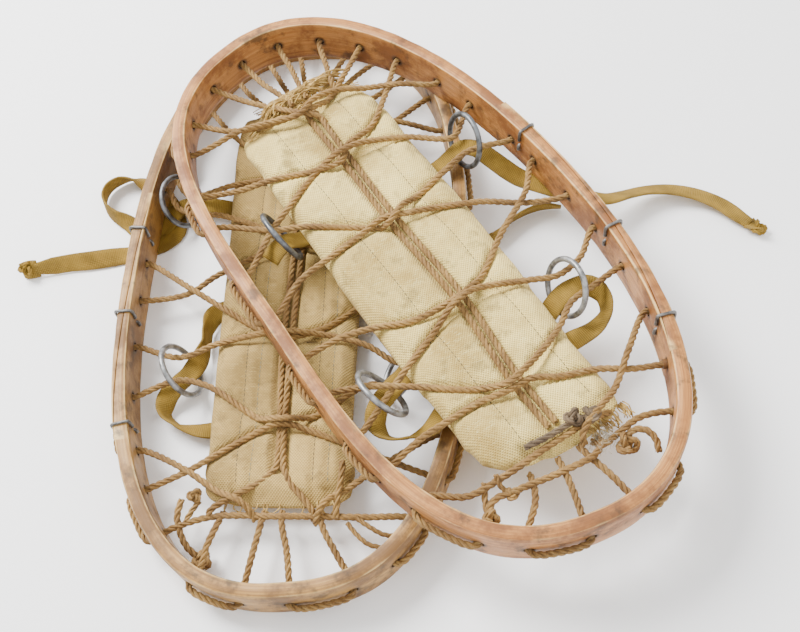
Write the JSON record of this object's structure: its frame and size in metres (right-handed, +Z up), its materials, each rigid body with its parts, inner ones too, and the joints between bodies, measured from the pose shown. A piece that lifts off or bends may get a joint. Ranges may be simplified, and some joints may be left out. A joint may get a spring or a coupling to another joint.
{
  "type": "pair of snowshoes",
  "caption": "Pair of bear-paw snowshoes, upside down and crossed: bent wooden rims laced with cord over canvas foot pads, loose steel rings and webbing ties.",
  "frame": {"origin": "centre of the pair's plan on the ground, with loose straps and tails left out", "axes": "+Y along the lower shoe, +Z up, as the pair lies upside down"},
  "size_m": [0.6294, 0.5409, 0.0873],
  "materials": {
    "lower_wood": "old varnished bent ash, tan to salmon, worn edges",
    "upper_wood": "old varnished bent ash, salmon orange, worn edges",
    "staple_wire": "dull galvanised wire",
    "ring_steel": "dull galvanised wire with dark spots",
    "canvas": "unbleached canvas with dirt and lengthwise stitching",
    "pad_wadding": "cotton wadding inside the canvas",
    "webbing": "khaki cotton webbing",
    "cord": "brown laid cord of three strands, tarred and dusty"
  },
  "bodies": {
    "lower_shoe": {"lower_rim": "lower_wood", "lower_rim_staples": "staple_wire", "lower_rim_lacing": "cord", "lower_left_lacing": "cord", "lower_right_lacing": "cord", "lower_toe_spokes": "cord", "lower_heel_spokes": "cord", "lower_toe_end_cords": "cord", "lower_heel_end_cords": "cord", "lower_centre_cord": "cord", "lower_pad_cover": "canvas", "lower_pad_filling": "pad_wadding", "lower_toe_strap": "webbing", "lower_heel_strap": "webbing", "lower_strap_knot": "webbing", "lower_heel_tail": "cord", "lower_heel_tail_knot": "cord"},
    "upper_shoe": {"upper_rim": "upper_wood", "upper_rim_staples": "staple_wire", "upper_rim_lacing": "cord", "upper_left_lacing": "cord", "upper_right_lacing": "cord", "upper_toe_spokes": "cord", "upper_heel_spokes": "cord", "upper_toe_end_cords": "cord", "upper_heel_end_cords": "cord", "upper_centre_cord": "cord", "upper_pad_cover": "canvas", "upper_pad_filling": "pad_wadding", "upper_toe_strap": "webbing", "upper_heel_strap": "webbing", "upper_strap_knot": "webbing", "upper_heel_tail": "cord", "upper_heel_tail_knot": "cord"},
    "lower_ring_toe_left_body": {"lower_ring_toe_left": "ring_steel"},
    "lower_ring_toe_right_body": {"lower_ring_toe_right": "ring_steel"},
    "lower_ring_heel_left_body": {"lower_ring_heel_left": "ring_steel"},
    "lower_ring_heel_right_body": {"lower_ring_heel_right": "ring_steel"},
    "upper_ring_toe_left_body": {"upper_ring_toe_left": "ring_steel"},
    "upper_ring_toe_right_body": {"upper_ring_toe_right": "ring_steel"},
    "upper_ring_heel_left_body": {"upper_ring_heel_left": "ring_steel"},
    "upper_ring_heel_right_body": {"upper_ring_heel_right": "ring_steel"}
  },
  "joints": [
    {"name": "lift_off_upper_shoe", "type": "slide", "parent": "lower_shoe", "child": "upper_shoe", "axis": [0, 0, 1], "range_m": [0, 0.3]},
    {"name": "lower_ring_toe_left_swing", "type": "hinge", "parent": "lower_shoe", "child": "lower_ring_toe_left_body", "pos_m": [-0.181, 0.08, 0.021], "axis": [0.1736, 0.9848, 0], "range_deg": [-8, 4]},
    {"name": "lower_ring_toe_right_swing", "type": "hinge", "parent": "lower_shoe", "child": "lower_ring_toe_right_body", "pos_m": [0.014, 0.075, 0.021], "axis": [-0.0872, 0.9962, 0], "range_deg": [-4, 8]},
    {"name": "lower_ring_heel_left_swing", "type": "hinge", "parent": "lower_shoe", "child": "lower_ring_heel_left_body", "pos_m": [-0.161, -0.083, 0.0225], "axis": [-0.309, 0.9511, 0], "range_deg": [-8, 6]},
    {"name": "lower_ring_heel_right_swing", "type": "hinge", "parent": "lower_shoe", "child": "lower_ring_heel_right_body", "pos_m": [0.01, -0.088, 0.021], "axis": [0.2079, 0.9781, 0], "range_deg": [-4, 8]},
    {"name": "upper_ring_toe_left_swing", "type": "hinge", "parent": "upper_shoe", "child": "upper_ring_toe_left_body", "pos_m": [-0.08162, 0.01201, 0.0624], "axis": [-0.5693, 0.8221, 0], "range_deg": [-6, 8]},
    {"name": "upper_ring_toe_right_swing", "type": "hinge", "parent": "upper_shoe", "child": "upper_ring_toe_right_body", "pos_m": [0.06194, 0.09803, 0.0646], "axis": [-0.4955, 0.8686, 0], "range_deg": [-8, 8]},
    {"name": "upper_ring_heel_left_swing", "type": "hinge", "parent": "upper_shoe", "child": "upper_ring_heel_left_body", "pos_m": [0.00124, -0.12523, 0.0624], "axis": [-0.6388, 0.7694, 0], "range_deg": [-4, 6]},
    {"name": "upper_ring_heel_right_swing", "type": "hinge", "parent": "upper_shoe", "child": "upper_ring_heel_right_body", "pos_m": [0.1357, -0.04186, 0.0624], "axis": [-0.4493, 0.8934, 0], "range_deg": [-8, 3]}
  ]
}
